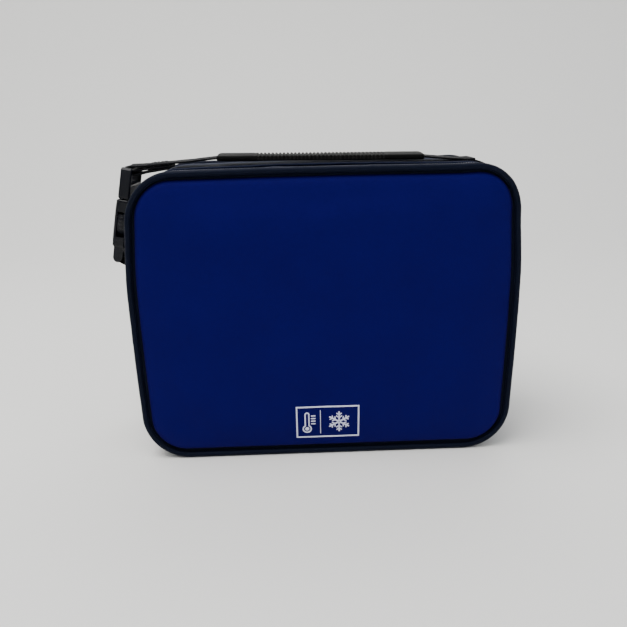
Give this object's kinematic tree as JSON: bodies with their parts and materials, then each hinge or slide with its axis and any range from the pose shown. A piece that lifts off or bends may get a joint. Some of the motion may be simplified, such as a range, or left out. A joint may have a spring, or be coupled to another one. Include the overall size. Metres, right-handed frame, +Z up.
{
  "type": "lunch box",
  "caption": "Soft insulated lunch box with a zip-round front lid, a webbing handle with a ribbed grip and a side-release buckle.",
  "frame": {"origin": "middle of the flat bottom of the bag, on the surface it stands on", "axes": "+X to the right seen from the front, +Y to the back, +Z up"},
  "size_m": [0.2804, 0.09, 0.2078],
  "materials": {
    "front_cloth": "royal blue woven polyester",
    "navy_cloth": "navy woven polyester",
    "piping_cloth": "navy piping",
    "foam": "closed-cell insulating foam",
    "lining": "pale grey welded lining",
    "binding": "navy binding tape",
    "zip_tape": "navy zip tape",
    "zip_coil": "nylon coil",
    "zip_metal": "black enamelled zinc",
    "webbing": "black webbing",
    "grip_rubber": "ribbed rubber",
    "buckle": "satin black acetal",
    "mesh": "black mesh",
    "badge": "pale printed film"
  },
  "bodies": {
    "bag": {"gusset_shell": "navy_cloth", "gusset_foam": "foam", "back_panel_cover": "navy_cloth", "back_panel_foam": "foam", "back_piping": "piping_cloth", "front_sill_cover": "front_cloth", "front_sill_foam": "foam", "front_piping_lower": "piping_cloth", "body_lining": "lining", "back_seam_binding": "binding", "front_badge": "badge", "zip_tape_body": "zip_tape", "zip_coil_body": "zip_coil", "zip_end_tabs": "navy_cloth", "handle_anchor": "webbing", "buckle_tab": "webbing", "buckle_socket": "buckle"},
    "lid": {"front_panel_cover": "front_cloth", "front_panel_foam": "foam", "front_piping_upper": "piping_cloth", "lid_band_shell": "navy_cloth", "lid_band_foam": "foam", "lid_lining": "lining", "lid_seam_binding": "binding", "mesh_pocket": "mesh", "pocket_binding": "binding", "zip_tape_lid": "zip_tape", "zip_coil_lid": "zip_coil"},
    "zip_slider": {"zip_slider": "zip_metal"},
    "zip_pull": {"zip_pull": "zip_metal"},
    "handle": {"handle_webbing": "webbing", "handle_grip": "grip_rubber"},
    "buckle_plug": {"buckle_plug": "buckle"},
    "buckle_arm_front": {"buckle_arm_front": "buckle"},
    "buckle_arm_rear": {"buckle_arm_rear": "buckle"}
  },
  "joints": [
    {"name": "lid_hinge", "type": "hinge", "parent": "bag", "child": "lid", "pos_m": [0, -0.045, 0.046], "axis": [1, 0, 0], "range_deg": [0, 105]},
    {"name": "zip_slide", "type": "slide", "parent": "bag", "child": "zip_slider", "axis": [0, 0, 1], "range_m": [0, 0.105]},
    {"name": "pull_swing", "type": "hinge", "parent": "zip_slider", "child": "zip_pull", "pos_m": [0.1317, -0.025, 0.0577], "axis": [0, -1, 0], "range_deg": [0, 165]},
    {"name": "handle_lift", "type": "hinge", "parent": "bag", "child": "handle", "pos_m": [0.12965, 0, 0.1545], "axis": [0, 1, 0], "range_deg": [0, 50], "deforming": ["buckle_arm_front", "buckle_arm_rear"]},
    {"name": "plug_swing", "type": "hinge", "parent": "handle", "child": "buckle_plug", "pos_m": [-0.131, 0, 0.2004], "axis": [0, 1, 0], "range_deg": [-50, 0]},
    {"name": "arm_front_squeeze", "type": "hinge", "parent": "buckle_plug", "child": "buckle_arm_front", "pos_m": [-0.13471, -0.0107, 0.18217], "axis": [0.9799, 0, -0.1994], "range_deg": [0, 7], "stiffness_Nm_per_rad": 0.06},
    {"name": "arm_rear_squeeze", "type": "hinge", "parent": "buckle_plug", "child": "buckle_arm_rear", "pos_m": [-0.13471, 0.0107, 0.18217], "axis": [-0.9799, 0, 0.1994], "range_deg": [0, 7], "stiffness_Nm_per_rad": 0.06}
  ],
  "couplings": [
    {"joint": "plug_swing", "follows": "handle_lift", "ratio": -1}
  ]
}
